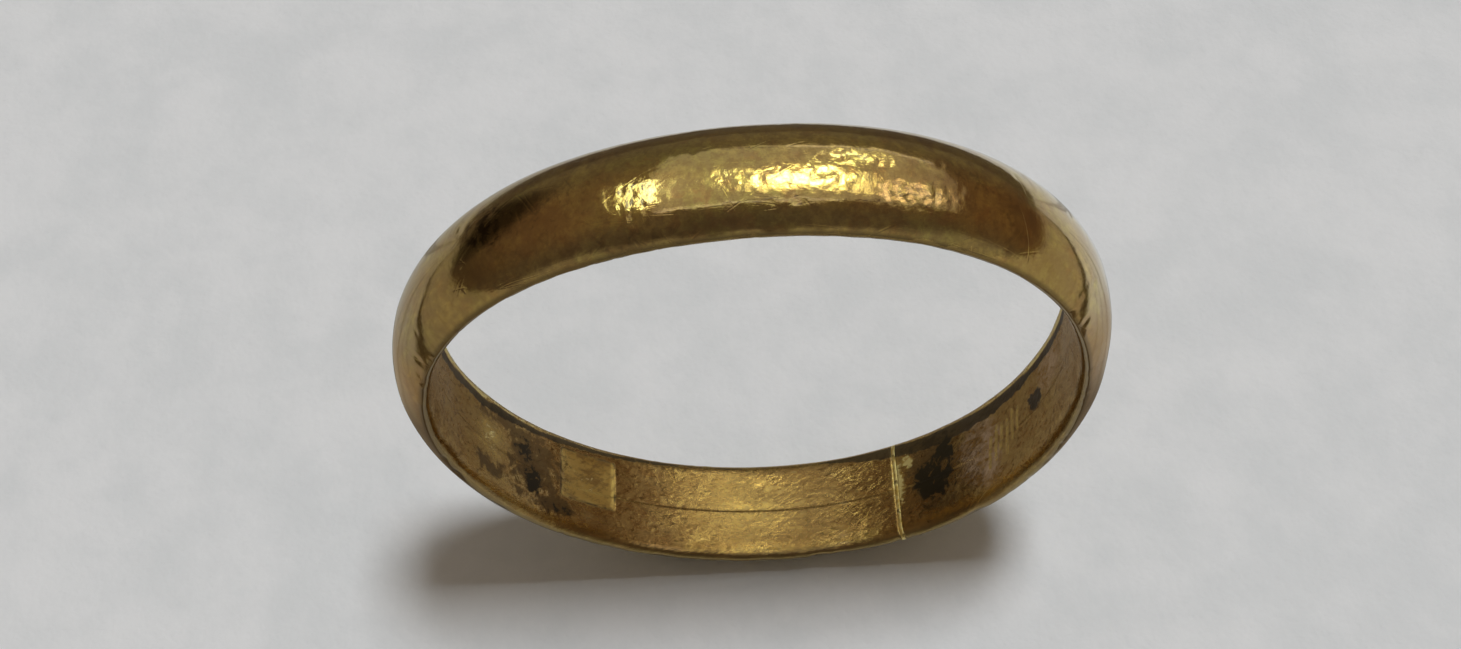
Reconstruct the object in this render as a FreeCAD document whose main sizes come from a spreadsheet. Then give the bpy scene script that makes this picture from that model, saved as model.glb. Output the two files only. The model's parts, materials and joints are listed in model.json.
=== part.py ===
import FreeCAD, Part
import os

import Sketcher
from FreeCAD import Placement, Rotation, Vector

# A plain D-section wedding band standing on its rim.
# Frame: origin at the centre of the finger hole, +Y along the finger, +Z up, millimetres.
# A strip of gold is bent into a hoop, the shank, whose two ends nearly meet. A thin wafer
# of gold solder fills the gap between them and closes the ring.

DIMENSIONS = {
    # The hoop
    "inside_diameter": 17.5,
    "band_width": 3.3,
    "crown_thickness": 1.1,
    "edge_thickness": 0.25,
    # Rounding of the section's corners
    "inner_edge_radius": 0.12,
    "shoulder_radius": 0.08,
    # The soldered joint, whose angle is counted from the lowest point of the hoop towards +X
    "seam_width": 0.12,
    "seam_angle": 28.5,
}
FINGER_AXIS = Vector(0, 1, 0)
START, END, CENTRE = 1, 2, 3
SKETCH_ORIGIN = -1, 1
SKETCH_Y_AXIS = -2
MATCH_TOLERANCE = 0.01

os.makedirs("parts", exist_ok=True)
doc = FreeCAD.newDocument("wedding_band")


def make_sheet():
    """The driving dimensions, and the sizes worked out from them."""
    derived = {
        "inside_radius": "=inside_diameter / 2",
        "half_width": "=band_width / 2",
        "shoulder_height": "=inside_radius + edge_thickness",
        "crown_height": "=inside_radius + crown_thickness",
        "half_gap": "=seam_width / 2",
        "cut_depth": "=crown_thickness * 2",
        "cut_floor": "=inside_radius - crown_thickness / 2",
    }
    sheet = doc.addObject("Spreadsheet::Sheet", "dims")
    cells = {**DIMENSIONS, **derived}
    for row, (name, content) in enumerate(cells.items(), start=1):
        sheet.set(f"A{row}", name)
        sheet.set(f"B{row}", str(content))
        sheet.setAlias(f"B{row}", name)
    doc.recompute()
    return sheet


def origin_feature(body, role):
    """One of the body's own origin planes or axes."""
    return next(feature for feature in body.Origin.OriginFeatures if feature.Role == role)


def add_sketch(body, name, plane):
    """An empty sketch lying on one of the body's own origin planes."""
    sketch = body.newObject("Sketcher::SketchObject", name)
    sketch.AttachmentSupport = [(origin_feature(body, plane), "")]
    sketch.MapMode = "FlatFace"
    doc.recompute()
    return sketch


def add_outline(sketch, curves):
    """Curves joined end to end into one closed outline, with square sides kept square."""
    numbers = [sketch.addGeometry(curve, False) for curve in curves]
    for this, following in zip(numbers, numbers[1:] + numbers[:1]):
        sketch.addConstraint(Sketcher.Constraint("Coincident", this, END, following, START))
    for number, curve in zip(numbers, curves):
        if isinstance(curve, Part.LineSegment):
            upright = abs(curve.EndPoint.x - curve.StartPoint.x) < MATCH_TOLERANCE
            kind = "Vertical" if upright else "Horizontal"
            sketch.addConstraint(Sketcher.Constraint(kind, number))
    return numbers


def size_by(sketch, kind, places, cell):
    """One sized constraint between two points, driven by a cell of the sheet."""
    constraint = Sketcher.Constraint(kind, *places, getattr(dims, cell))
    index = sketch.addConstraint(constraint)
    sketch.renameConstraint(index, cell)
    sketch.setExpression(f"Constraints.{cell}", f"dims.{cell}")


def draw_section(body, name):
    """The D section: sketch x runs along the finger and sketch y away from it. It has a flat
    inside wall, two short upright sides and one low arc over the crown."""
    sketch = add_sketch(body, name, "YZ_Plane")
    half, bore = dims.half_width, dims.inside_radius
    shoulder, crown = dims.shoulder_height, dims.crown_height
    inside_left, inside_right = Vector(-half, bore, 0), Vector(half, bore, 0)
    outside_left, outside_right = Vector(-half, shoulder, 0), Vector(half, shoulder, 0)
    summit = Vector(0, crown, 0)
    wall, right, dome, left = add_outline(
        sketch,
        [
            Part.LineSegment(inside_left, inside_right),
            Part.LineSegment(inside_right, outside_right),
            Part.Arc(outside_right, summit, outside_left),
            Part.LineSegment(outside_left, inside_left),
        ],
    )
    top = sketch.addGeometry(Part.Point(summit), True)
    for point in ((dome, CENTRE), (top, START)):
        sketch.addConstraint(Sketcher.Constraint("PointOnObject", *point, SKETCH_Y_AXIS))
    sketch.addConstraint(Sketcher.Constraint("PointOnObject", top, START, dome))
    size_by(sketch, "DistanceX", (wall, START, wall, END), "band_width")
    size_by(sketch, "DistanceY", (*SKETCH_ORIGIN, wall, START), "inside_radius")
    size_by(sketch, "DistanceY", (right, START, right, END), "edge_thickness")
    size_by(sketch, "DistanceY", (*SKETCH_ORIGIN, top, START), "crown_height")
    doc.recompute()
    return sketch


def corner_edges(shape, height):
    """Names of the edges that run along both sides of the band at this distance from the axis."""
    names = []
    for number, edge in enumerate(shape.Edges, start=1):
        middle = edge.valueAt((edge.FirstParameter + edge.LastParameter) / 2)
        away = (middle.x**2 + middle.z**2) ** 0.5
        on_side = abs(abs(middle.y) - dims.half_width) < MATCH_TOLERANCE
        if on_side and abs(away - height) < MATCH_TOLERANCE:
            names.append(f"Edge{number}")
    return names


def round_corners(body, name, height, cell):
    """Rounds both long corners of the section at this distance from the axis."""
    base = body.Tip
    fillet = body.newObject("PartDesign::Fillet", name)
    fillet.Base = (base, corner_edges(base.Shape, height))
    fillet.setExpression("Radius", f"dims.{cell}")
    doc.recompute()


def finish_section(body, prefix):
    """Rounds the inside edges for the finger, and softens the outer shoulders."""
    round_corners(body, f"{prefix}_inner_edges", dims.inside_radius, "inner_edge_radius")
    round_corners(body, f"{prefix}_shoulders", dims.shoulder_height, "shoulder_radius")


def make_body(name):
    """A body drawn with its joint at the top, then turned about the finger to its place."""
    body = doc.addObject("PartDesign::Body", name)
    body.Label = name
    body.Placement = Placement(Vector(0, 0, 0), Rotation(FINGER_AXIS, 180))
    body.setExpression("Placement.Rotation.Angle", "180 deg - dims.seam_angle * 1 deg")
    doc.recompute()
    return body


def make_shank():
    """The gold strip: a full turn of the section, less the gap between its two ends."""
    body = make_body("shank")
    section = draw_section(body, "shank_section")
    hoop = body.newObject("PartDesign::Revolution", "shank_hoop")
    hoop.Profile = section
    hoop.ReferenceAxis = (origin_feature(body, "Y_Axis"), [""])
    hoop.Angle = 360
    doc.recompute()
    finish_section(body, "shank")
    cut_joint(body)
    return body


def cut_joint(body):
    """The gap between the strip's ends: a parallel cut through the band at the top."""
    whole_hoop = body.Tip.Shape.Volume
    sketch = add_sketch(body, "joint_outline", "XZ_Plane")
    half, floor = dims.half_gap, dims.cut_floor
    ceiling = floor + dims.cut_depth
    corners = [
        Vector(-half, floor, 0),
        Vector(half, floor, 0),
        Vector(half, ceiling, 0),
        Vector(-half, ceiling, 0),
    ]
    sides = [Part.LineSegment(a, b) for a, b in zip(corners, corners[1:] + corners[:1])]
    bottom, right, _, _ = add_outline(sketch, sides)
    size_by(sketch, "DistanceX", (*SKETCH_ORIGIN, bottom, END), "half_gap")
    size_by(sketch, "DistanceX", (bottom, START, bottom, END), "seam_width")
    size_by(sketch, "DistanceY", (*SKETCH_ORIGIN, bottom, START), "cut_floor")
    size_by(sketch, "DistanceY", (right, START, right, END), "cut_depth")
    pocket = body.newObject("PartDesign::Pocket", "joint_gap")
    pocket.Profile = sketch
    pocket.Type = "ThroughAll"
    pocket.Midplane = True
    doc.recompute()
    if not body.Tip.Shape.Volume < whole_hoop:
        raise RuntimeError("the joint's cut removed nothing from the shank")


def make_solder_seam():
    """The wafer of solder: the same section, as thick as the gap that it fills."""
    body = make_body("solder_seam")
    section = draw_section(body, "seam_section")
    wafer = body.newObject("PartDesign::Pad", "seam_wafer")
    wafer.Profile = section
    wafer.Midplane = True
    wafer.setExpression("Length", "dims.seam_width")
    doc.recompute()
    finish_section(body, "seam")
    return body


def export(bodies):
    """Checks every object of the document and each body's shape, then writes the bodies."""
    for thing in doc.Objects:
        if "Invalid" in thing.State or "Error" in thing.State:
            raise RuntimeError(f"{thing.Name} failed: {thing.State}")
    for body in bodies:
        if body.Shape.isNull() or not body.Shape.isValid():
            raise RuntimeError(f"{body.Label} has no valid shape")
    for body in bodies:
        body.Shape.exportStep(f"parts/{body.Label}.step")
        print(f"{body.Label}: {len(body.Shape.Solids)} solid, {body.Shape.Volume:.3f} mm3")


dims = make_sheet()
export([make_shank(), make_solder_seam()])
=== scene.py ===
import json
import math

import bpy
import numpy as np
from mathutils import Matrix, Vector


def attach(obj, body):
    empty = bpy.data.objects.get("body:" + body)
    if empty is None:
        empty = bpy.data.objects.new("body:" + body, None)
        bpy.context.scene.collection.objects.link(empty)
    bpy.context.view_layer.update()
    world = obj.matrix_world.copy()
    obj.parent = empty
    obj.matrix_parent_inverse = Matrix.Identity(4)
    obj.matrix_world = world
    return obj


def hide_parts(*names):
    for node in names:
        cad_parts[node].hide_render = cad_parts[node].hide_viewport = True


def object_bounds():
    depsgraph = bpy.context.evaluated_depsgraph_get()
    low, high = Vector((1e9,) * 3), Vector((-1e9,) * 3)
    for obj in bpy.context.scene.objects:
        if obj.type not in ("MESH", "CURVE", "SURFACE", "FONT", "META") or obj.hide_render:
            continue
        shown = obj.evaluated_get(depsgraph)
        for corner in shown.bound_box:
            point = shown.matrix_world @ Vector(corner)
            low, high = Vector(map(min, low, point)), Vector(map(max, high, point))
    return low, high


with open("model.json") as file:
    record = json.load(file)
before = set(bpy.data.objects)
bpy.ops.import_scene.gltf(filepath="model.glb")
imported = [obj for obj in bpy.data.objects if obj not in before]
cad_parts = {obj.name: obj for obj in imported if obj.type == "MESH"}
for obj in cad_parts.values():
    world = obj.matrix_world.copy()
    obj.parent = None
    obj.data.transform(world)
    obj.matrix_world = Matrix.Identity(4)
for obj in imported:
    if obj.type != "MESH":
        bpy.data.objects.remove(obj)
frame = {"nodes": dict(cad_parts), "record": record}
cad_low, cad_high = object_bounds()

# Everything is in metres in the CAD frame: +Y along the finger, +Z up, origin at the centre of
# the hole. "turn" is the angle round the band in radians, from its lowest point towards +X, and
# "across" is the distance along the finger.
MM = 0.001
FULL_TURN = 2 * math.pi
random = np.random.default_rng(1927)


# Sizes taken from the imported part

def mount(name):
    """The record's mount of this name."""
    return next(m for m in frame["record"]["mounts"] if m["name"] == name)


def vertices_of(node):
    """A CAD node's vertices as an array."""
    return np.array([v.co for v in frame["nodes"][node].data.vertices])


BORE = mount("finger_bore")["dims"]["r_mm"] * MM
CROWN = (cad_high.x - cad_low.x) / 2
SEAM_POINTS = vertices_of("solder_seam")
SEAM_TURN = math.atan2(SEAM_POINTS[:, 0].mean(), -SEAM_POINTS[:, 2].mean())
SEAM_ALONG = np.array([math.cos(SEAM_TURN), 0, math.sin(SEAM_TURN)])
HALF_SEAM = np.ptp(SEAM_POINTS @ SEAM_ALONG) / 2

# Section of the band. The sides lose a hair's breadth so that no wear mark stands proud of them.
SIDE_CLEARANCE = 0.01 * MM
HALF_WIDTH = (cad_high.y - cad_low.y) / 2 - SIDE_CLEARANCE
EDGE_THICKNESS = 0.25 * MM
SHOULDER = BORE + EDGE_THICKNESS
SHOULDER_ROUND = 0.08 * MM
# The inside edges are worn to broad roundings, given as width and depth
BACK_ROUND = (0.40 * MM, 0.19 * MM)
FRONT_ROUND = (0.58 * MM, 0.21 * MM)

# Mesh steps: across each half of the section, round the shank, and through the solder
WALL_STEPS = 16
CORNER_STEPS = 6
SIDE_STEPS = 2
DOME_STEPS = 23
TURN_STEPS = 900
SEAM_STEPS = 8

# The solder stands a little proud inside, where it was never filed quite flush
BEAD_HEIGHT = 0.006 * MM

# Years of wear have pushed the soft gold out of round: lobes, height and one peak (degrees)
OUT_OF_ROUND = ((2, 0.0423 * MM, 40.9), (3, 0.1708 * MM, 11.4), (4, 0.0666 * MM, 47.4))
# and have dished one flank: a soft patch, as below, and its depth
FLATTENED = ((98, 0.0, 12, 1.0, 1.0),)
FLAT_DEPTH = 0.085 * MM

# Gentle ripples: wavelength, height and how far they are drawn out along the band, and where
# they lie. Each set is a sum of this many waves.
RIPPLES = (
    (2.6 * MM, 0.0022 * MM, 1.0, "outside"),
    (3.0 * MM, 0.0100 * MM, 1.0, "dull_and_shaded"),
    (0.8 * MM, 0.0032 * MM, 5.0, "dull_and_shaded"),
    (0.9 * MM, 0.0005 * MM, 1.0, "outside"),
    (1.1 * MM, 0.0080 * MM, 1.6, "inside"),
)
WAVES = 40

# Dents and nicks: how many, and the least and greatest of what varies
DENTS = 9000
DENT_RADIUS = (0.10 * MM, 0.22 * MM)
DENT_SLOPE = (0.015, 0.07)
STRAY_SHARE = 0.03
NICKS = 160
NICK_LENGTH = (0.15 * MM, 0.60 * MM)
NICK_DEPTH = (0.005 * MM, 0.025 * MM)
NICK_WIDTH = 0.16 * MM

# Soft patches of the surface: turn and across of the middle, half sizes (degrees and mm), weight
WORN_OUTSIDE = (
    (197.5, -0.60, 3, 0.45, 1.0),
    (184, -0.45, 4, 0.28, 1.0),
    (172, -0.45, 10, 0.45, 1.0),
    (165, 0.00, 4, 0.25, 1.0),
    (157, -0.75, 6, 0.40, 1.0),
)
# Brown film and painted shade: these patches lie where the band mirrors the dark room and the
# shaded card, and darken the gold there
BROWN_AND_SHADE_OUTSIDE = (
    (212, -0.3, 12, 1.0, 1.0),
    (150, -0.2, 9, 0.8, 1.0),
    (138, -0.6, 9, 1.0, 1.0),
    (200, -1.45, 13, 0.25, 1.0),
    (206, 0.9, 14, 0.5, 0.9),
    (153, 0.9, 10, 0.4, 0.7),
    (92, -1.55, 24, 0.40, 0.9),
    (268, -1.60, 26, 0.32, 0.9),
)
# Duller gold with painted shade on the flanks and the bottom, for the shaded card that they mirror
DULL_AND_SHADED_OUTSIDE = (
    (250, -0.4, 28, 2.2, 1.0),
    (110, -0.4, 28, 2.2, 1.0),
    (0, 0.0, 60, 2.5, 1.0),
)
# Painted shade: a dark patch high on the left outside, for the dark corner mirrored there; it
# joins the umber share
PAINTED_SHADE_OUTSIDE = ((221, 0.0, 5, 0.6, 0.55),)
BLACK_INSIDE = (
    (37, -0.10, 5.5, 0.65, 1.0),
    (40.5, 0.65, 3.0, 0.50, 1.0),
    (-53, -0.4, 3.5, 0.5, 0.80),
    (-55, 0.4, 3.5, 0.6, 0.60),
    (-47, -1.0, 6.0, 0.20, 0.45),
)
UMBER_INSIDE = (
    (37, 0.3, 6, 1.4, 1.0),
    (-53, 0.2, 8, 1.3, 1.0),
    (-60, 1.0, 13, 0.35, 0.9),
    (-47, -0.9, 6, 0.4, 1.0),
    (-66, -0.8, 7, 0.3, 0.8),
)
# No umber or black lies between these turns, so the stain beside the joint stops in a straight
# line, and the rose film only begins there
TIDE_TURNS = (42.5, 64.0)
# Painted shade along the back edge inside, a dark band for the dark that the worn rounding
# mirrors:
# its width at each of these turns
EDGE_TURNS = (-110, -70, -45, -25, -15, 12, 20, 35, 55, 70, 110)
EDGE_WIDTHS = (0.26, 0.28, 0.20, 0.14, 0.06, 0.06, 0.25, 0.50, 0.42, 0.22, 0.18)
# It stops short of the rim: this far across at the flanks and at the bottom
EDGE_STOPS = (1.19, 1.57)
ROSE_INSIDE = ((50, 0.0, 7, 1.2, 1.0), (78, 0.6, 10, 0.7, 0.7))
BARE_INSIDE = (
    (29, 0.2, 2, 1.3, 1.0),
    (31.5, 0.8, 2.2, 0.45, 1.0),
    (-38, 0.2, 7, 1.4, 0.65),
    (-67, 0.2, 7, 0.9, 0.75),
    (-64, -0.9, 9, 0.3, 0.55),
    (-52, -1.25, 30, 0.3, 0.45),
    (60, -1.4, 30, 0.30, 0.45),
    (0, 0.0, 18, 1.6, 0.5),
)
SHEEN_INSIDE = ((-82, 0.3, 9, 1.2, 0.6), (88, 0.2, 9, 1.0, 0.5))

# Plain parallel strokes across the inside, lines of bare metal that stand a little proud: turn,
# across, half length (mm) and lean (degrees)
STROKES = (
    (52.5, -0.20, 0.45, 12),
    (54.6, 0.00, 0.50, 11),
    (56.4, 0.10, 0.38, 13),
    (58.2, -0.05, 0.50, 12),
    (60.3, 0.20, 0.42, 11),
    (62.3, 0.25, 0.30, 13),
)

# A blank punch struck inside, and a small plain oval filled with black: turn (degrees), across,
# half sizes and corner radius (mm)
STAMPS = ((-38.5, 0.35, 1.05, 0.85, 0.10),)
MARKS = ((70.0, 0.25, 0.46, 0.24, 0.22),)
STAMP_DEPTH = 0.026 * MM
# How far in from its outline the punch reaches that depth, in mm
STAMP_WALL = 0.15


# The section: a closed loop, from the middle of the inside wall by +Y to the crown and back by -Y

def half_section(inner_round):
    """Points of one half as (across, radius), and how far each belongs to the inside wall. The
    inner rounding is given as its width and depth."""
    points = []
    round_width, round_depth = inner_round
    wall_end = HALF_WIDTH - round_width
    for step in range(WALL_STEPS):
        points.append((wall_end * step / WALL_STEPS, BORE, 1.0))
    for step in range(CORNER_STEPS):
        angle = math.pi / 2 * step / CORNER_STEPS
        across = wall_end + round_width * math.sin(angle)
        points.append((across, BORE + round_depth * (1 - math.cos(angle)), math.cos(angle)))
    height, half = CROWN - SHOULDER, HALF_WIDTH
    dome = (half**2 + height**2) / (2 * height)
    centre = CROWN - dome
    corner = centre + math.sqrt((dome - SHOULDER_ROUND) ** 2 - (half - SHOULDER_ROUND) ** 2)
    for step in range(SIDE_STEPS):
        low = BORE + round_depth
        points.append((half, low + (corner - low) * step / SIDE_STEPS, 0.0))
    reach = math.atan2(corner - centre, half - SHOULDER_ROUND)
    for step in range(CORNER_STEPS):
        angle = reach * step / CORNER_STEPS
        across = half - SHOULDER_ROUND + SHOULDER_ROUND * math.cos(angle)
        points.append((across, corner + SHOULDER_ROUND * math.sin(angle), 0.0))
    for step in range(DOME_STEPS + 1):
        angle = reach + (math.pi / 2 - reach) * step / DOME_STEPS
        points.append((dome * math.cos(angle), centre + dome * math.sin(angle), 0.0))
    return points


def section():
    """The whole loop: across, radius, inside share, distance along it, and its outward normal."""
    right = half_section(BACK_ROUND)
    front = half_section(FRONT_ROUND)
    left = [(-across, radius, inside) for across, radius, inside in front[-2:0:-1]]
    across, radius, inside = np.array(right + left).T
    ahead = np.stack([np.roll(across, -1) - across, np.roll(radius, -1) - radius])
    length = np.hypot(*ahead)
    along = np.concatenate([[0.0], np.cumsum(length)[:-1]])
    slope = ahead / length + np.roll(ahead / length, 1, axis=1)
    slope /= np.hypot(*slope)
    return {
        "across": across,
        "radius": radius,
        "inside": inside,
        "along": along,
        "normal_across": slope[1],
        "normal_radius": -slope[0],
    }


LOOP = section()


def out_of_round(turn):
    """How far the band's circle is pushed out at each turn."""
    return sum(
        size * np.cos(lobes * (turn - math.radians(peak)))
        for lobes, size, peak in OUT_OF_ROUND
    )


def centring():
    """The shift that brings the out-of-round band to the middle of the CAD model's box."""
    turn = np.linspace(0, FULL_TURN, 2000)
    reach = CROWN + out_of_round(turn)
    x, z = reach * np.sin(turn), -reach * np.cos(turn)
    return Vector((-(x.max() + x.min()) / 2, 0, -(z.max() + z.min()) / 2))


SHIFT = centring()


def surface(turn, lift):
    """Points of the swept section at these turns, raised by lift along the surface's normal."""
    radius = LOOP["radius"] + LOOP["normal_radius"] * lift + out_of_round(turn)
    across = LOOP["across"] + LOOP["normal_across"] * lift
    across = across.clip(cad_low.y, cad_high.y)
    radius, across, turn = np.broadcast_arrays(radius, across, turn)
    points = np.stack([radius * np.sin(turn), across, -radius * np.cos(turn)], axis=-1)
    return points + np.array(SHIFT)


# Wear, as how far each point stands off the clean surface

def wrapped(angle):
    """The same angle between minus and plus half a turn."""
    return (angle + math.pi) % FULL_TURN - math.pi


def patches(turn, places, side):
    """How strongly each point lies in any of these soft patches on one side of the band."""
    strength = np.zeros(turn.shape)
    for middle, across, half_turn, half_across, weight in places:
        far = (wrapped(turn - math.radians(middle)) / math.radians(half_turn)) ** 2
        far = far + ((LOOP["across"] / MM - across) / half_across) ** 2
        strength = np.maximum(strength, weight * np.exp(-far) * side)
    return strength


def ripples(turn, wavelength, height, drawn_out):
    """Gentle unevenness: waves of random direction that join up after a whole turn. They can be
    drawn out along the band."""
    lift = np.zeros(turn.shape)
    for _ in range(WAVES):
        heading = random.uniform(0, FULL_TURN)
        stretch = random.uniform(0.7, 1.4) / wavelength
        around = round(BORE * FULL_TURN * stretch * math.cos(heading) / drawn_out)
        sideways = FULL_TURN * stretch * math.sin(heading)
        lift += np.cos(around * turn + sideways * LOOP["along"] + random.uniform(0, FULL_TURN))
    return lift * height / math.sqrt(WAVES)


def dent(turn, middle, along, half_turn, half_along):
    """A smooth dish of depth one, over the rows of the grid that it reaches."""
    rows = np.abs(wrapped(turn[:, 0] - middle)) < half_turn * 1.2
    sideways = (LOOP["along"] - along) / half_along
    far = (wrapped(turn[rows] - middle) / half_turn) ** 2 + sideways**2
    return rows, np.clip(1 - far, 0, None) ** 2


def dents(turn, where):
    """Many small dents at random, kept more often where the surface is worn."""
    lift = np.zeros(turn.shape)
    outside = np.flatnonzero(LOOP["inside"] == 0)
    for _ in range(DENTS):
        middle = random.uniform(0, FULL_TURN)
        column = random.choice(outside)
        size = random.uniform(*DENT_RADIUS)
        shape = random.uniform(0.6, 1.6)
        steep = random.uniform(*DENT_SLOPE)
        keep = random.uniform()
        nearest = np.argmin(np.abs(wrapped(turn[:, 0] - middle)))
        if keep > STRAY_SHARE + (1 - STRAY_SHARE) * where[nearest, column]:
            continue
        half_turn = size * shape / CROWN
        rows, dish = dent(turn, middle, LOOP["along"][column], half_turn, size / shape)
        lift[rows] -= dish * size * steep
    return lift


def edge_nicks(turn):
    """Short dings along both shoulders."""
    lift = np.zeros(turn.shape)
    shoulder = WALL_STEPS + CORNER_STEPS + SIDE_STEPS + CORNER_STEPS // 2
    for _ in range(NICKS):
        column = random.choice([shoulder, -shoulder])
        half_turn = random.uniform(*NICK_LENGTH) / BORE
        depth = random.uniform(*NICK_DEPTH)
        middle = random.uniform(0, FULL_TURN)
        rows, dish = dent(turn, middle, LOOP["along"][column], half_turn, NICK_WIDTH)
        lift[rows] -= dish * depth
    return lift


def punch_distance(turn, punches):
    """Distance in mm from the outline of the nearest of these punches, negative within it."""
    nearest = np.full(turn.shape, 1.0)
    for middle, across, half_round, half_across, corner in punches:
        x = np.abs(wrapped(turn - math.radians(middle))) * BORE / MM - half_round + corner
        y = np.abs(LOOP["across"] / MM - across) - half_across + corner
        outline = np.hypot(x.clip(0), y.clip(0)) + np.maximum(x, y).clip(None, 0) - corner
        nearest = np.minimum(nearest, outline)
    return np.where(LOOP["inside"] > 0.5, nearest, 1.0)


def stroke_distance(turn):
    """Distance in mm from the nearest stroke."""
    nearest = np.full(turn.shape, 1.0)
    for middle, across, half, lean in STROKES:
        x = wrapped(turn - math.radians(middle)) * BORE / MM
        y = LOOP["across"] / MM - across
        slant = math.radians(lean)
        along = x * math.sin(slant) + y * math.cos(slant)
        aside = x * math.cos(slant) - y * math.sin(slant)
        nearest = np.minimum(nearest, np.hypot(aside, (np.abs(along) - half).clip(0)))
    return np.where(LOOP["inside"] > 0.5, nearest, 1.0)


def back_edge_shade(turn):
    """How surely each point lies in the painted shade along the back edge inside, a dark band for
    the dark that the worn rounding mirrors, or on the rim past it.
    """
    width = np.interp(np.degrees(wrapped(turn)), EDGE_TURNS, EDGE_WIDTHS)
    across = LOOP["across"] / MM
    flank, bottom = EDGE_STOPS
    limit = flank + (bottom - flank) * np.cos(turn)
    start = ((across - limit + width) / 0.25 + 0.5).clip(0, 1)
    stop = ((limit - across) / 0.04 + 0.5).clip(0, 1)
    rim = (1 - stop) * (across > 0)
    return start * stop * (LOOP["inside"] > 0.2), rim * LOOP["inside"]


def wear_fields(turn):
    """What the materials read at each point."""
    inside = np.broadcast_to(LOOP["inside"], turn.shape)
    outside = 1 - inside
    angle = np.degrees(wrapped(turn))
    beyond = (angle > TIDE_TURNS[0]) & (angle < TIDE_TURNS[1])
    stained = inside * ~beyond
    # The umber share is film inside and painted shade outside
    umber = patches(turn, PAINTED_SHADE_OUTSIDE, outside) + patches(turn, UMBER_INSIDE, stained)
    # The dark band along the inside's back edge is painted shade
    edge, rim = back_edge_shade(turn)
    return {
        "inside": inside,
        "round": turn * BORE / MM,
        "along": np.broadcast_to(LOOP["along"] / MM, turn.shape),
        "across": np.broadcast_to(LOOP["across"] / MM, turn.shape),
        "worn": patches(turn, WORN_OUTSIDE, outside),
        "brown": patches(turn, BROWN_AND_SHADE_OUTSIDE, outside),
        "dull_and_shaded": patches(turn, DULL_AND_SHADED_OUTSIDE, outside),
        "umber": umber,
        "black": patches(turn, BLACK_INSIDE, stained),
        "edge": edge,
        "sheen": patches(turn, SHEEN_INSIDE, inside),
        "rose": patches(turn, ROSE_INSIDE, inside * (angle > TIDE_TURNS[0])),
        "bare": np.maximum(patches(turn, BARE_INSIDE, inside), rim),
        "stamp": punch_distance(turn, STAMPS),
        "mark": punch_distance(turn, MARKS),
        "stroke": stroke_distance(turn),
    }


def wear_lift(turn, fields):
    """How far wear has moved each point along the surface's normal."""
    outside = 1 - fields["inside"]
    shares = {**fields, "outside": outside}
    lift = np.zeros(turn.shape)
    for wavelength, height, drawn_out, where in RIPPLES:
        lift += ripples(turn, wavelength, height, drawn_out) * shares[where]
    lift += dents(turn, fields["worn"])
    lift += edge_nicks(turn)
    lift -= STAMP_DEPTH * (-fields["stamp"] / STAMP_WALL).clip(0, 1)
    lift -= patches(turn, FLATTENED, outside) * FLAT_DEPTH
    return lift


# The two pieces

def store(mesh, name, values):
    """One number per vertex, for the materials to read."""
    attribute = mesh.attributes.new(name, "FLOAT", "POINT")
    attribute.data.foreach_set("value", np.ascontiguousarray(values, dtype=np.float32).ravel())


def swept(name, turn, lift, fields):
    """A closed length of the band, from a grid of turns with one column per section point."""
    points = surface(turn, lift)
    rows, columns = turn.shape
    number = np.arange(rows * columns).reshape(rows, columns)
    here, ahead = number[:-1], number[1:]
    quads = np.stack([here, ahead, np.roll(ahead, -1, 1), np.roll(here, -1, 1)], axis=-1)
    faces = quads.reshape(-1, 4).tolist() + [number[0].tolist(), number[-1][::-1].tolist()]
    mesh = bpy.data.meshes.new(name)
    mesh.from_pydata(points.reshape(-1, 3).tolist(), [], faces)
    mesh.validate()
    mesh.shade_smooth()
    for end in mesh.polygons[-2:]:
        end.use_smooth = False
    for field, values in fields.items():
        store(mesh, field, values)
    piece = bpy.data.objects.new(name, mesh)
    bpy.context.scene.collection.objects.link(piece)
    return piece


def end_turn(side):
    """The turn at which each point of the section meets the joint's flat face."""
    return SEAM_TURN + side * np.arcsin(HALF_SEAM / LOOP["radius"])


def between(first, last, steps):
    """Rows that pass evenly from the first to the last."""
    share = np.linspace(0, 1, steps + 1)[:, None]
    return first + (last - first) * share


def build_pieces():
    """The shank and the wafer of solder, from one worn surface so that their ends match."""
    turn = between(end_turn(1), end_turn(-1) + FULL_TURN, TURN_STEPS)
    fields = wear_fields(turn)
    lift = wear_lift(turn, fields)
    shank = swept("worn_shank", turn, lift, fields)
    seam_turn = between(end_turn(-1), end_turn(1), SEAM_STEPS)
    bead = between(-1, 1, SEAM_STEPS)
    seam_lift = between(lift[-1], lift[0], SEAM_STEPS)
    seam_lift += (1 - bead**2) * BEAD_HEIGHT * LOOP["inside"]
    seam_fields = {
        name: between(values[-1], values[0], SEAM_STEPS)
        for name, values in fields.items()
    }
    seam_fields["round"] = seam_turn * BORE / MM
    seam = swept("worn_solder_seam", seam_turn, seam_lift, seam_fields)
    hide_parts("shank")
    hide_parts("solder_seam")
    return shank, seam


# Materials

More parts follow.
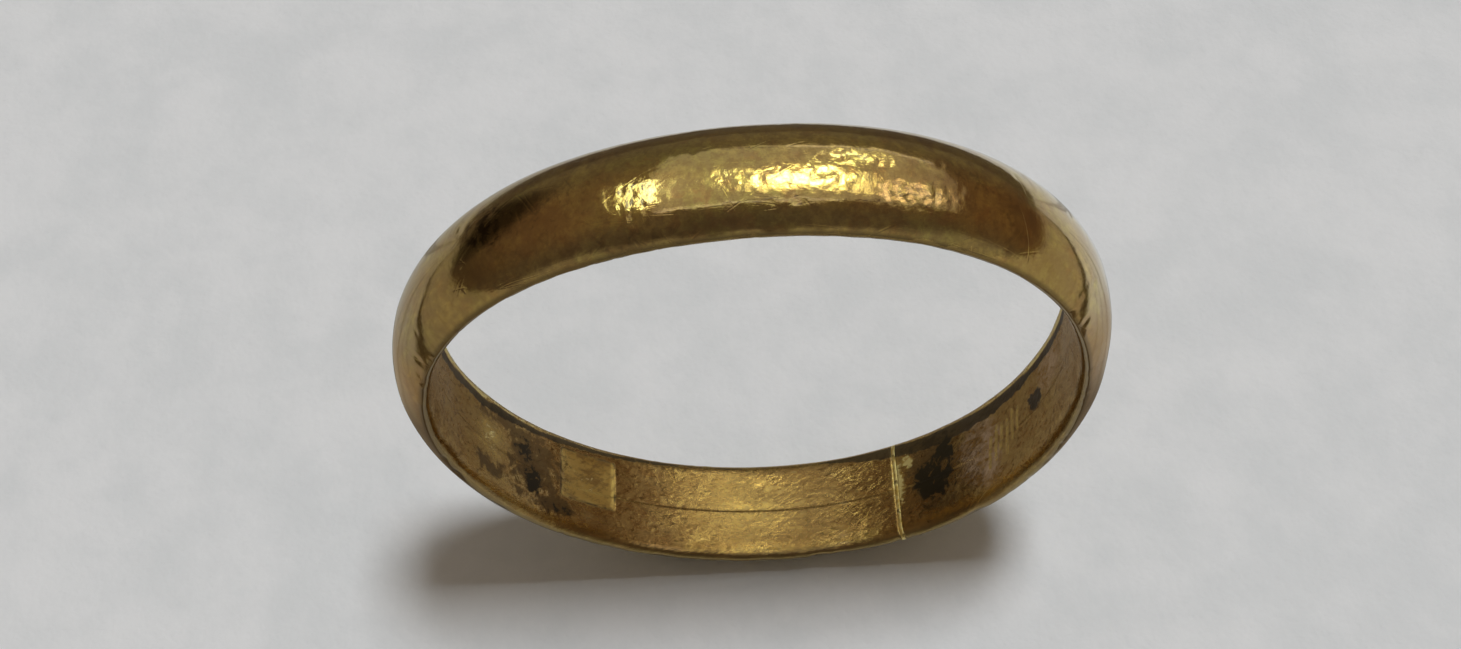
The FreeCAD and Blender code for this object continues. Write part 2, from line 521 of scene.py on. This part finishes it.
class Nodes:
    """The node graph of a material or of the world. A value is a number, a colour, a vector or
    another output."""

    def __init__(self, holder, shader="Principled BSDF"):
        holder.use_nodes = True
        self.holder = holder
        self.tree = holder.node_tree
        self.shader = self.tree.nodes[shader]

    def put(self, socket, value):
        if isinstance(value, bpy.types.NodeSocket):
            self.tree.links.new(value, socket)
        else:
            socket.default_value = value

    def add(self, kind, settings=(), inputs=()):
        node = self.tree.nodes.new("ShaderNode" + kind)
        for name, value in dict(settings).items():
            setattr(node, name, value)
        for name, value in dict(inputs).items():
            self.put(node.inputs[name], value)
        return node

    def finish(self, **inputs):
        for name, value in inputs.items():
            self.put(self.shader.inputs[name.replace("_", " ")], value)
        return self.holder

    def field(self, name):
        """A number stored on the mesh."""
        return self.add("Attribute", {"attribute_name": name}).outputs["Fac"]

    def place(self):
        """Where a point is, in mm."""
        inputs = {0: self.add("TexCoord").outputs["Object"], "Scale": 1 / MM}
        return self.add("VectorMath", {"operation": "SCALE"}, inputs).outputs[0]

    def unrolled(self, heading, stretch):
        """The band laid flat in mm, turned by a heading in degrees and then squeezed sideways."""
        flat = self.add("CombineXYZ", (), {"X": self.field("round"), "Y": self.field("along")})
        turned = self.add(
            "VectorRotate",
            {"rotation_type": "Z_AXIS"},
            {"Vector": flat.outputs[0], "Angle": math.radians(heading)},
        )
        scale = {0: turned.outputs[0], 1: (1.0, stretch, 1.0)}
        return self.add("VectorMath", {"operation": "MULTIPLY"}, scale).outputs[0]

    def sum(self, operation, *values):
        return self.add("Math", {"operation": operation}, dict(enumerate(values))).outputs[0]

    def times(self, a, b):
        return self.sum("MULTIPLY", a, b)

    def plus(self, a, b):
        return self.sum("ADD", a, b)

    def ramp(self, value, low, high, start=0.0, stop=1.0):
        """Start below low, stop above high, and a smooth change between them."""
        inputs = {
            "Value": value,
            "From Min": low,
            "From Max": high,
            "To Min": start,
            "To Max": stop,
        }
        return self.add("MapRange", {"interpolation_type": "SMOOTHSTEP"}, inputs).outputs[0]

    def noise(self, where, scale, detail=3.0, roughness=0.5, distortion=0.0):
        inputs = {
            "Vector": where,
            "Scale": scale,
            "Detail": detail,
            "Roughness": roughness,
            "Distortion": distortion,
        }
        return self.add("TexNoise", (), inputs).outputs["Fac"]

    def cells(self, where, scale):
        """Distance from the middles of scattered cells."""
        inputs = {"Vector": where, "Scale": scale}
        return self.add("TexVoronoi", {"feature": "SMOOTH_F1"}, inputs).outputs["Distance"]

    def blend(self, share, first, second):
        """Share 0 gives the first colour and 1 the second."""
        node = self.add("Mix", {"data_type": "RGBA"}, {0: share})
        self.put(node.inputs[6], first)
        self.put(node.inputs[7], second)
        return node.outputs[2]

    def mix(self, share, first, second):
        """The same for two numbers."""
        return self.add("Mix", {"data_type": "FLOAT"}, {0: share, 2: first, 3: second}).outputs[0]

    def scratches(self, heading, spacing, thinness, width):
        """Long thin lines in one direction: the zero crossings of a stretched noise."""
        where = self.unrolled(heading, thinness)
        wave = self.noise(where, 1 / (spacing * thinness), 1.0)
        off = self.sum("ABSOLUTE", self.sum("SUBTRACT", wave, 0.5))
        broken = self.ramp(self.noise(where, 0.35, 1.0), 0.52, 0.60)
        return self.times(self.ramp(off, width, 0.0), broken)

    def relief(self, height):
        """A normal from a height in mm."""
        return self.add("Bump", (), {"Height": height, "Distance": MM}).outputs[0]


# The brown, dull, lip, umber and black colours also paint shade, as noted where each is used
FRESH_GOLD = (0.78, 0.57, 0.19, 1)
GREEN_GOLD = (0.70, 0.57, 0.18, 1)
RED_GOLD = (0.66, 0.40, 0.14, 1)
DULL_GOLD_AND_SHADE = (0.50, 0.35, 0.15, 1)
TAN_GOLD = (0.46, 0.31, 0.12, 1)
BROWN_FILM_AND_SHADE = (0.36, 0.21, 0.075, 1)
ROSE_FILM = (0.62, 0.45, 0.31, 1)
LIP_FILM_AND_SHADE = (0.19, 0.135, 0.055, 1)
UMBER_FILM_AND_SHADE = (0.11, 0.065, 0.022, 1)
BLACK_GRIME_AND_SHADE = (0.026, 0.020, 0.010, 1)
SOLDER_GOLD = (1.0, 0.88, 0.46, 1)
# What the brown inside mirrors at a glancing angle
WARM_EDGE = (0.90, 0.78, 0.60, 1)

# The floor's card, and the dimmer one that the band mirrors
CARD_TONES = (0.72, 0.765, 0.80, 1), (0.785, 0.825, 0.86, 1)
FRONT_LEFT_CARD = (0.40, 0.38, 0.31, 1)
FRONT_RIGHT_CARD = (0.56, 0.53, 0.42, 1)
BACK_LEFT_CARD = (0.46, 0.46, 0.42, 1)
BACK_RIGHT_CARD = (0.82, 0.89, 0.95, 1)
DARK_LINE = (0.06, 0.045, 0.025, 1)
FOLD_SHADE = (0.08, 0.06, 0.035, 1)
FAR_SHADE = (0.13, 0.11, 0.08, 1)
LOW_SHADE = (0.40, 0.32, 0.21, 1)
NEAR_SHADE = (0.18, 0.15, 0.11, 1)
RING_SHADE = (0.10, 0.09, 0.06, 1)


def ragged(n, field, noise, spread, low, high):
    """A soft field cut to islands with torn edges, none of them where the field is nothing."""
    torn = n.ramp(n.plus(n.field(field), n.times(n.plus(noise, -0.5), spread)), low, high)
    return n.times(torn, n.ramp(n.field(field), 0.03, 0.20))


def outer_finish(n, where):
    """Colour and roughness of the polished, knocked-about outside, with painted shade in its brown
    and dull patches.
    """
    tint = n.ramp(n.noise(where, 0.5, 4), 0.40, 0.62)
    colour = n.blend(tint, FRESH_GOLD, GREEN_GOLD)
    blush = n.ramp(n.noise(where, 1.7, 5, 0.6), 0.50, 0.66)
    colour = n.blend(n.times(blush, 0.85), colour, RED_GOLD)
    shade = n.ramp(n.noise(where, 2.6, 6, 0.7), 0.38, 0.60)
    colour = n.blend(n.times(shade, 0.6), colour, DULL_GOLD_AND_SHADE)
    grain = n.ramp(n.noise(where, 4.5, 4, 0.75), 0.44, 0.60)
    colour = n.blend(n.times(grain, 0.34), colour, BROWN_FILM_AND_SHADE)
    mottle = n.noise(where, 1.1, 6, 0.65)
    # Painted shade: the brown patches darken and brown the gold where the band mirrors the dark
    # room, mottled like a film
    brown = n.times(n.field("brown"), n.ramp(mottle, 0.34, 0.60))
    colour = n.blend(n.times(brown, 0.85), colour, BROWN_FILM_AND_SHADE)
    drawn = n.noise(n.unrolled(3, 5.0), 0.8, 5, 0.65)
    smoky_and_shade = n.times(n.field("brown"), n.ramp(n.noise(where, 3.4, 5, 0.7, 0.6), 0.50, 0.62))
    colour = n.blend(n.times(smoky_and_shade, 0.40), colour, UMBER_FILM_AND_SHADE)
    # Painted shade: the flanks and bottom are dulled and darkened, for the shaded card they mirror
    dull_and_shaded = n.times(n.field("dull_and_shaded"), n.ramp(drawn, 0.38, 0.60, 0.1, 0.9))
    colour = n.blend(dull_and_shaded, colour, DULL_GOLD_AND_SHADE)
    roughness = n.ramp(n.noise(where, 0.8, 4), 0.35, 0.65, 0.08, 0.14)
    roughness = n.mix(brown, roughness, 0.16)
    roughness = n.mix(dull_and_shaded, roughness, 0.10)
    roughness = n.mix(n.field("worn"), roughness, 0.20)
    return colour, roughness


def inner_finish(n, where):
    """Colour and roughness of the inside, which has kept its film of brown."""
    mottle = n.noise(where, 1.5, 6, 0.62, 0.4)
    streaks = n.noise(n.unrolled(12, 4.5), 0.9, 5, 0.65)
    grain = n.noise(n.unrolled(-20, 2.0), 4.0, 4, 0.7, 0.5)
    film = n.plus(n.times(mottle, 0.3), n.plus(n.times(streaks, 0.35), n.times(grain, 0.35)))
    colour = n.blend(n.ramp(film, 0.43, 0.57), TAN_GOLD, BROWN_FILM_AND_SHADE)
    colour = n.blend(n.times(n.ramp(grain, 0.52, 0.66), 0.7), colour, UMBER_FILM_AND_SHADE)
    rose = ragged(n, "rose", mottle, 1.0, 0.30, 0.55)
    colour = n.blend(rose, colour, n.blend(n.ramp(film, 0.42, 0.56), ROSE_FILM, BROWN_FILM_AND_SHADE))
    strokes = n.times(n.ramp(n.field("stroke"), 0.11, 0.03), n.ramp(grain, 0.36, 0.48))
    bare = n.sum("MAXIMUM", ragged(n, "bare", film, 4.0, 0.25, 0.95), strokes)
    colour = n.blend(bare, colour, n.blend(n.ramp(grain, 0.40, 0.60), FRESH_GOLD, DULL_GOLD_AND_SHADE))
    struck = n.ramp(n.field("stamp"), 0.0, -0.08)
    punch_floor = n.blend(n.ramp(film, 0.46, 0.58), FRESH_GOLD, TAN_GOLD)
    colour = n.blend(n.times(struck, 0.9), colour, punch_floor)
    roughness = n.mix(bare, n.ramp(film, 0.40, 0.60, 0.18, 0.30), 0.34)
    roughness = n.mix(struck, roughness, 0.34)
    fleck = n.ramp(n.plus(n.field("bare"), n.times(n.plus(grain, -0.5), 1.4)), 0.76, 0.86)
    colour = n.blend(fleck, colour, SOLDER_GOLD)
    roughness = n.mix(fleck, roughness, 0.5)
    return colour, roughness


def grime_and_shade(n, where):
    """Shares of umber and of black. Both lie in ragged islands: umber as film inside and as
    painted shade high on the left outside, black as deposit. The black also lies round the punch
    and in the oval, and as painted shade along the inside's back edge. Bare metal has neither."""
    torn = n.noise(where, 2.6, 8, 0.72, 0.4)
    # Umber: film inside, and painted shade in the patch high on the left outside
    umber = ragged(n, "umber", torn, 3.2, 0.30, 0.70)
    island = ragged(n, "black", torn, 3.4, 0.42, 0.62)
    # The dark band along the inside's back edge is painted shade, added to the black
    edge = n.times(ragged(n, "edge", torn, 1.4, 0.42, 0.58), 0.9)
    away = n.sum("ABSOLUTE", n.plus(n.field("stamp"), 0.03))
    caught = n.times(n.ramp(away, 0.07, 0.0), n.ramp(n.noise(where, 3.0, 3), 0.40, 0.60))
    filled = n.ramp(n.plus(n.field("mark"), n.times(n.plus(torn, -0.5), 0.9)), 0.03, -0.03)
    black = n.sum("MAXIMUM", n.times(caught, 0.8), n.times(filled, 0.9))
    black = n.sum("MAXIMUM", black, n.sum("MAXIMUM", island, edge))
    not_bare = n.ramp(n.plus(n.field("bare"), n.times(n.plus(torn, -0.5), 1.6)), 0.80, 0.70)
    return n.times(n.times(umber, 0.85), not_bare), n.times(black, not_bare)


def front_lip_shade_and_film(n, inside):
    """Share of the painted shade round the front edge, for the dark that the edge mirrors: a broad
    streaky one inside, partly brown film, and a line outside.
    """
    across = n.field("across")
    streaks = n.noise(n.unrolled(1, 6.0), 1.2, 4, 0.6)
    broad = n.times(n.ramp(across, -1.20, -1.50), n.ramp(streaks, 0.36, 0.58, 0.35, 0.9))
    line = n.ramp(across, -1.54, -1.63, 0.0, 0.8)
    return n.mix(inside, line, broad)


def relief_height(n, where):
    """Height in mm of everything too fine for the mesh."""
    inside, worn = n.field("inside"), n.field("worn")
    outside = n.sum("SUBTRACT", 1.0, inside)
    peel = n.times(n.noise(where, 2.2, 3), n.mix(inside, 0.0035, 0.014))
    pits = n.times(n.cells(where, 5.5), n.times(worn, -0.022))
    crumple = n.times(n.noise(where, 8.0, 3), n.mix(worn, 0.0014, 0.012))
    lines = n.plus(n.scratches(4, 0.35, 7, 0.022), n.scratches(-31, 0.6, 9, 0.020))
    lines = n.plus(lines, n.scratches(62, 0.5, 8, 0.022))
    lines = n.times(lines, n.mix(inside, -0.0012, -0.0022))
    lines = n.times(lines, n.ramp(n.field("stamp"), 0.02, 0.12))
    hair = n.times(n.noise(n.unrolled(2, 12), 2.0, 3), 0.0011)
    punched = n.times(n.ramp(n.field("stamp"), 0.02, -0.04), -0.01)
    strokes = n.times(n.ramp(n.field("stroke"), 0.10, 0.0), 0.006)
    pitted = n.times(n.times(n.noise(n.unrolled(-25, 1.8), 3.5, 5, 0.6), 0.026), inside)
    pits, crumple = n.times(pits, outside), n.times(crumple, outside)
    height = peel
    for part in (pits, crumple, lines, hair, punched, strokes, pitted):
        height = n.plus(height, part)
    return height


def gold():
    """Old yellow gold: bright and dented outside, brown and stained inside, with painted shade in
    dark patches outside, on the flanks, round the front edge and along the inside's back edge.
    """
    n = Nodes(bpy.data.materials.new("worn_gold"))
    where = n.place()
    outer_colour, outer_roughness = outer_finish(n, where)
    inner_colour, inner_roughness = inner_finish(n, where)
    inside = n.field("inside")
    umber, black = grime_and_shade(n, where)
    colour = n.blend(inside, outer_colour, inner_colour)
    # Painted shade round the front edge, partly brown film inside
    colour = n.blend(front_lip_shade_and_film(n, inside), colour, LIP_FILM_AND_SHADE)
    # Umber and black: film and deposit, with painted shade high on the left outside and along the
    # inside's back edge
    colour = n.blend(umber, colour, UMBER_FILM_AND_SHADE)
    colour = n.blend(black, colour, BLACK_GRIME_AND_SHADE)
    roughness = n.mix(inside, outer_roughness, inner_roughness)
    roughness = n.mix(black, n.mix(umber, roughness, n.mix(inside, 0.14, 0.32)), 0.5)
    coat = n.mix(inside, 0.6, n.plus(0.08, n.times(n.field("sheen"), 0.35)))
    # Film, deposit and painted shade inside make the surface less metallic
    dirt_and_shade = n.times(n.sum("MAXIMUM", n.times(umber, 0.7), black), inside)
    return n.finish(
        Base_Color=colour,
        Metallic=n.sum("SUBTRACT", 1.0, n.times(dirt_and_shade, 0.9)),
        Specular_IOR_Level=0.25,
        Specular_Tint=n.blend(inside, (1, 1, 1, 1), WARM_EDGE),
        Roughness=roughness,
        Normal=n.relief(relief_height(n, where)),
        Coat_Weight=n.times(coat, n.sum("SUBTRACT", 1.0, umber)),
        Coat_Roughness=n.mix(inside, 0.05, 0.12),
    )


def gold_solder():
    """The joint: a paler alloy, left matt where it was filed back."""
    n = Nodes(bpy.data.materials.new("gold_solder"))
    where = n.place()
    tint = n.ramp(n.noise(where, 4.0, 4), 0.40, 0.60)
    colour = n.blend(tint, SOLDER_GOLD, FRESH_GOLD)
    colour = n.blend(n.times(n.ramp(n.noise(where, 5.0, 3), 0.56, 0.64), 0.8), colour, UMBER_FILM_AND_SHADE)
    return n.finish(
        Base_Color=colour,
        Metallic=1.0,
        Roughness=n.ramp(n.noise(where, 3.0, 3), 0.35, 0.65, 0.36, 0.50),
        Normal=n.relief(n.times(n.noise(where, 6.0, 4), 0.012)),
    )


def from_middle(n, x, y):
    """How far a place on the floor is from the middle of these two axes."""
    return n.sum("SQRT", n.plus(n.times(x, x), n.times(y, y)))


def mirrored_card(n, where):
    """What the band mirrors instead of the card: the card dimmed, as if it lay in a dark room. It
    is paler behind a dark line that runs out to each side, creased along that line, and shaded
    far back, beside and within the band, and in a ring that hugs its outline."""
    parts = n.add("SeparateXYZ", (), {0: where})
    x, y = parts.outputs["X"], parts.outputs["Y"]
    aside = n.sum("ABSOLUTE", x)
    to_right = n.ramp(x, -25, 25)
    front = n.blend(to_right, FRONT_LEFT_CARD, FRONT_RIGHT_CARD)
    behind = n.blend(to_right, BACK_LEFT_CARD, BACK_RIGHT_CARD)
    line = n.plus(y, n.times(aside, -0.65))
    card = n.blend(n.ramp(line, -26, -22), front, behind)
    rule = n.times(n.ramp(line, -29, -27), n.ramp(line, -22, -24))
    card = n.blend(rule, card, DARK_LINE)
    folds = n.noise(n.add("CombineXYZ", (), {"X": line}).outputs[0], 0.30, 3, 0.6)
    card = n.blend(n.ramp(folds, 0.50, 0.62), card, n.blend(0.5, card, FOLD_SHADE))
    far_back = n.plus(y, n.times(aside, -0.45))
    card = n.blend(n.ramp(far_back, 28.6, 29.4), card, FAR_SHADE)
    reach = from_middle(n, x, n.plus(y, 3))
    low = n.times(n.ramp(reach, 30, 20), n.times(n.ramp(aside, 9, 12), n.ramp(y, 11, 5)))
    card = n.blend(n.times(low, 0.7), card, LOW_SHADE)
    beside = n.times(n.ramp(reach, 19, 14), n.times(n.ramp(aside, 8, 12), n.ramp(y, 5, 3)))
    within = n.times(n.ramp(aside, 13, 9), n.times(n.ramp(y, 2, 5), n.ramp(y, 14, 10)))
    card = n.blend(n.sum("MAXIMUM", beside, n.times(within, 0.6)), card, NEAR_SHADE)
    ring = from_middle(n, n.times(x, 1 / 12.6), n.plus(n.times(y, 1 / 8), -1.0))
    hugging = n.times(n.ramp(ring, 0.90, 1.0), n.ramp(ring, 1.22, 1.06))
    return n.blend(n.times(hugging, 0.85), card, RING_SHADE)


def floor_material():
    """Plain pale card, very slightly mottled."""
    n = Nodes(bpy.data.materials.new("pale_card"))
    where = n.place()
    card = n.blend(n.ramp(n.noise(where, 0.35, 5, 0.6), 0.3, 0.7), *CARD_TONES)
    mirrored = n.add("LightPath").outputs["Is Glossy Ray"]
    return n.finish(
        Base_Color=n.blend(mirrored, card, mirrored_card(n, where)),
        Roughness=0.9,
        Specular_IOR_Level=0.0,
        Normal=n.relief(n.times(n.noise(where, 3.0, 4), 0.05)),
    )


# Studio

FLOOR_HALF = 1.5
FLOOR_CORNERS = (-1, -1), (1, -1), (1, 1), (-1, 1)
LIGHT_HEIGHT = 0.5
FILL_HEIGHT = 5.0
LAYER_DROP = 0.01

# Lamps: name, layer, place and size as shares of the height, radiance and colour
MIRRORED_LAMPS = (
    ("ceiling", 0, 0.45, 0.55, 1.86, 2.06, 0.28, (0.97, 1.0, 0.95)),
    ("front_strip", 1, -0.06, -0.49, 0.84, 0.05, 0.9, (1, 1, 1)),
    ("back_strip", 1, 0.75, 1.45, 1.2, 0.10, 1.0, (1, 1, 1)),
    ("key", 2, 0.22, 0.05, 0.56, 0.50, 1.3, (1.0, 0.98, 0.62)),
    ("key_core", 3, 0.17, 0.07, 0.28, 0.24, 8.5, (0.88, 1.0, 0.66)),
    ("left", 1, -0.50, 0.10, 0.08, 0.60, 7.5, (0.88, 1.0, 0.76)),
    ("back_right", 2, 0.48, 0.85, 0.24, 0.22, 6.0, (0.92, 1.0, 0.66)),
    ("right", 2, 0.85, -0.10, 0.40, 0.30, 1.5, (1.0, 0.84, 0.72)),
)
FILL_LAMPS = (
    ("fill", 4, 0.18, 0.09, 0.22, 0.22, 39.5, (1, 1, 1)),
    ("soft_fill", 5, 0.0, 0.2, 1.8, 1.8, 0.10, (1, 1, 1)),
)

# The room that the band mirrors, and the backdrop seen directly
ROOM_FRONT = (0.098, 0.082, 0.068, 1)
ROOM_LEFT_LOW = (0.075, 0.052, 0.035, 1)
ROOM_LEFT_HIGH = (0.190, 0.135, 0.088, 1)
ROOM_RIGHT = (0.150, 0.095, 0.055, 1)
ROOM_BACK = (0.155, 0.135, 0.095, 1)
DARK_CORNER = (0.030, 0.022, 0.015, 1)
TABLE = (0.25, 0.23, 0.19, 1)
BACKDROP = (0.62, 0.63, 0.64, 1)

# Camera: angles in degrees, how far it is back, aside and above, and its lens in mm
CAMERA_ELEVATION = 57.949
CAMERA_ROLL = 2.945
CAMERA_PLACE = (50.407 * MM, -0.686 * MM, 1.274 * MM)
SENSOR_WIDTH = 36.0
LENS = 44.772


def build_floor(height):
    """A wide card that the band stands on."""
    mesh = bpy.data.meshes.new("floor")
    corners = [(x * FLOOR_HALF, y * FLOOR_HALF, height) for x, y in FLOOR_CORNERS]
    mesh.from_pydata(corners, [], [(0, 1, 2, 3)])
    floor = bpy.data.objects.new("floor", mesh)
    bpy.context.scene.collection.objects.link(floor)
    mesh.materials.append(floor_material())


def softbox(mirrored, name, layer, x, y, width, depth, radiance, colour):
    """A flat lamp facing straight down. Places and sizes are shares of its height, and each layer
    hangs a little lower than the last, so that lamps that overlap don't share a plane. A lamp is
    either one that the band mirrors, or one that lights the card evenly from high up."""
    height = (LIGHT_HEIGHT if mirrored else FILL_HEIGHT) * (1 - LAYER_DROP * layer)
    light = bpy.data.lights.new(name, "AREA")
    light.shape = "RECTANGLE"
    light.size, light.size_y = width * height, depth * height
    light.energy = math.pi * light.size * light.size_y * radiance
    light.color = colour
    lamp = bpy.data.objects.new(name, light)
    lamp.location = Vector((x, y, 1)) * height
    lamp.visible_glossy = mirrored
    lamp.visible_diffuse = not mirrored
    lamp.visible_camera = False
    bpy.context.scene.collection.objects.link(lamp)


def build_lights():
    for lamp in MIRRORED_LAMPS:
        softbox(True, *lamp)
    for lamp in FILL_LAMPS:
        softbox(False, *lamp)


def build_room():
    """A dim warm room for the band to mirror, with a dark corner low on the left and a paler
    table in front. Seen directly it is a plain backdrop."""
    world = bpy.data.worlds.new("room")
    bpy.context.scene.world = world
    n = Nodes(world, "Background")
    look = n.add("TexCoord").outputs["Generated"]
    parts = n.add("SeparateXYZ", (), {0: look})
    x, y, z = (parts.outputs[axis] for axis in "XYZ")

    def towards(aim, wide, narrow):
        """How nearly a direction points at this aim: none beyond wide, all within narrow."""
        inputs = {0: look, 1: Vector(aim).normalized()}
        closeness = n.add("VectorMath", {"operation": "DOT_PRODUCT"}, inputs).outputs["Value"]
        return n.ramp(closeness, math.cos(math.radians(wide)), math.cos(math.radians(narrow)))

    left = n.blend(n.ramp(z, 0.05, 0.65), ROOM_LEFT_LOW, ROOM_LEFT_HIGH)
    room = n.blend(n.ramp(x, -0.5, 0.5), left, ROOM_RIGHT)
    room = n.blend(n.ramp(y, -0.1, -0.8), room, ROOM_FRONT)
    room = n.blend(n.ramp(y, 0.3, 0.95), room, ROOM_BACK)
    room = n.blend(towards((-0.85, 0.50, 0.10), 26, 12), room, DARK_CORNER)
    table = n.times(towards((0.1, -0.95, -0.25), 59, 50), n.ramp(z, 0.46, 0.24))
    room = n.blend(table, room, TABLE)
    seen = n.add("LightPath").outputs["Is Camera Ray"]
    n.finish(Color=n.blend(seen, room, BACKDROP))


def build_camera():
    """Looks down through the hoop, a little off its middle, with the horizon tipped slightly."""
    elevation, roll = math.radians(CAMERA_ELEVATION), math.radians(CAMERA_ROLL)
    distance, aside, above = CAMERA_PLACE
    back = Vector((0, -math.cos(elevation), math.sin(elevation)))
    right = Vector((1, 0, 0))
    up = Vector((0, math.sin(elevation), math.cos(elevation)))
    across = math.cos(roll) * right - math.sin(roll) * up
    upward = math.sin(roll) * right + math.cos(roll) * up
    data = bpy.data.cameras.new("camera")
    data.sensor_width = SENSOR_WIDTH
    data.lens = LENS
    data.clip_start = 0.001
    data.clip_end = 10
    camera = bpy.data.objects.new("camera", data)
    place = SHIFT + back * distance + right * aside + up * above
    axes = Matrix((across, upward, back)).transposed().to_4x4()
    camera.matrix_world = Matrix.Translation(place) @ axes
    bpy.context.scene.collection.objects.link(camera)
    bpy.context.scene.camera = camera


shank, seam = build_pieces()
shank.data.materials.append(gold())
seam.data.materials.append(gold_solder())
for piece in (shank, seam):
    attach(piece, "root")

lowest = min(v.co.z for v in shank.data.vertices)
build_floor(lowest)
build_lights()
build_room()
build_camera()
bpy.context.scene.view_settings.view_transform = "Standard"
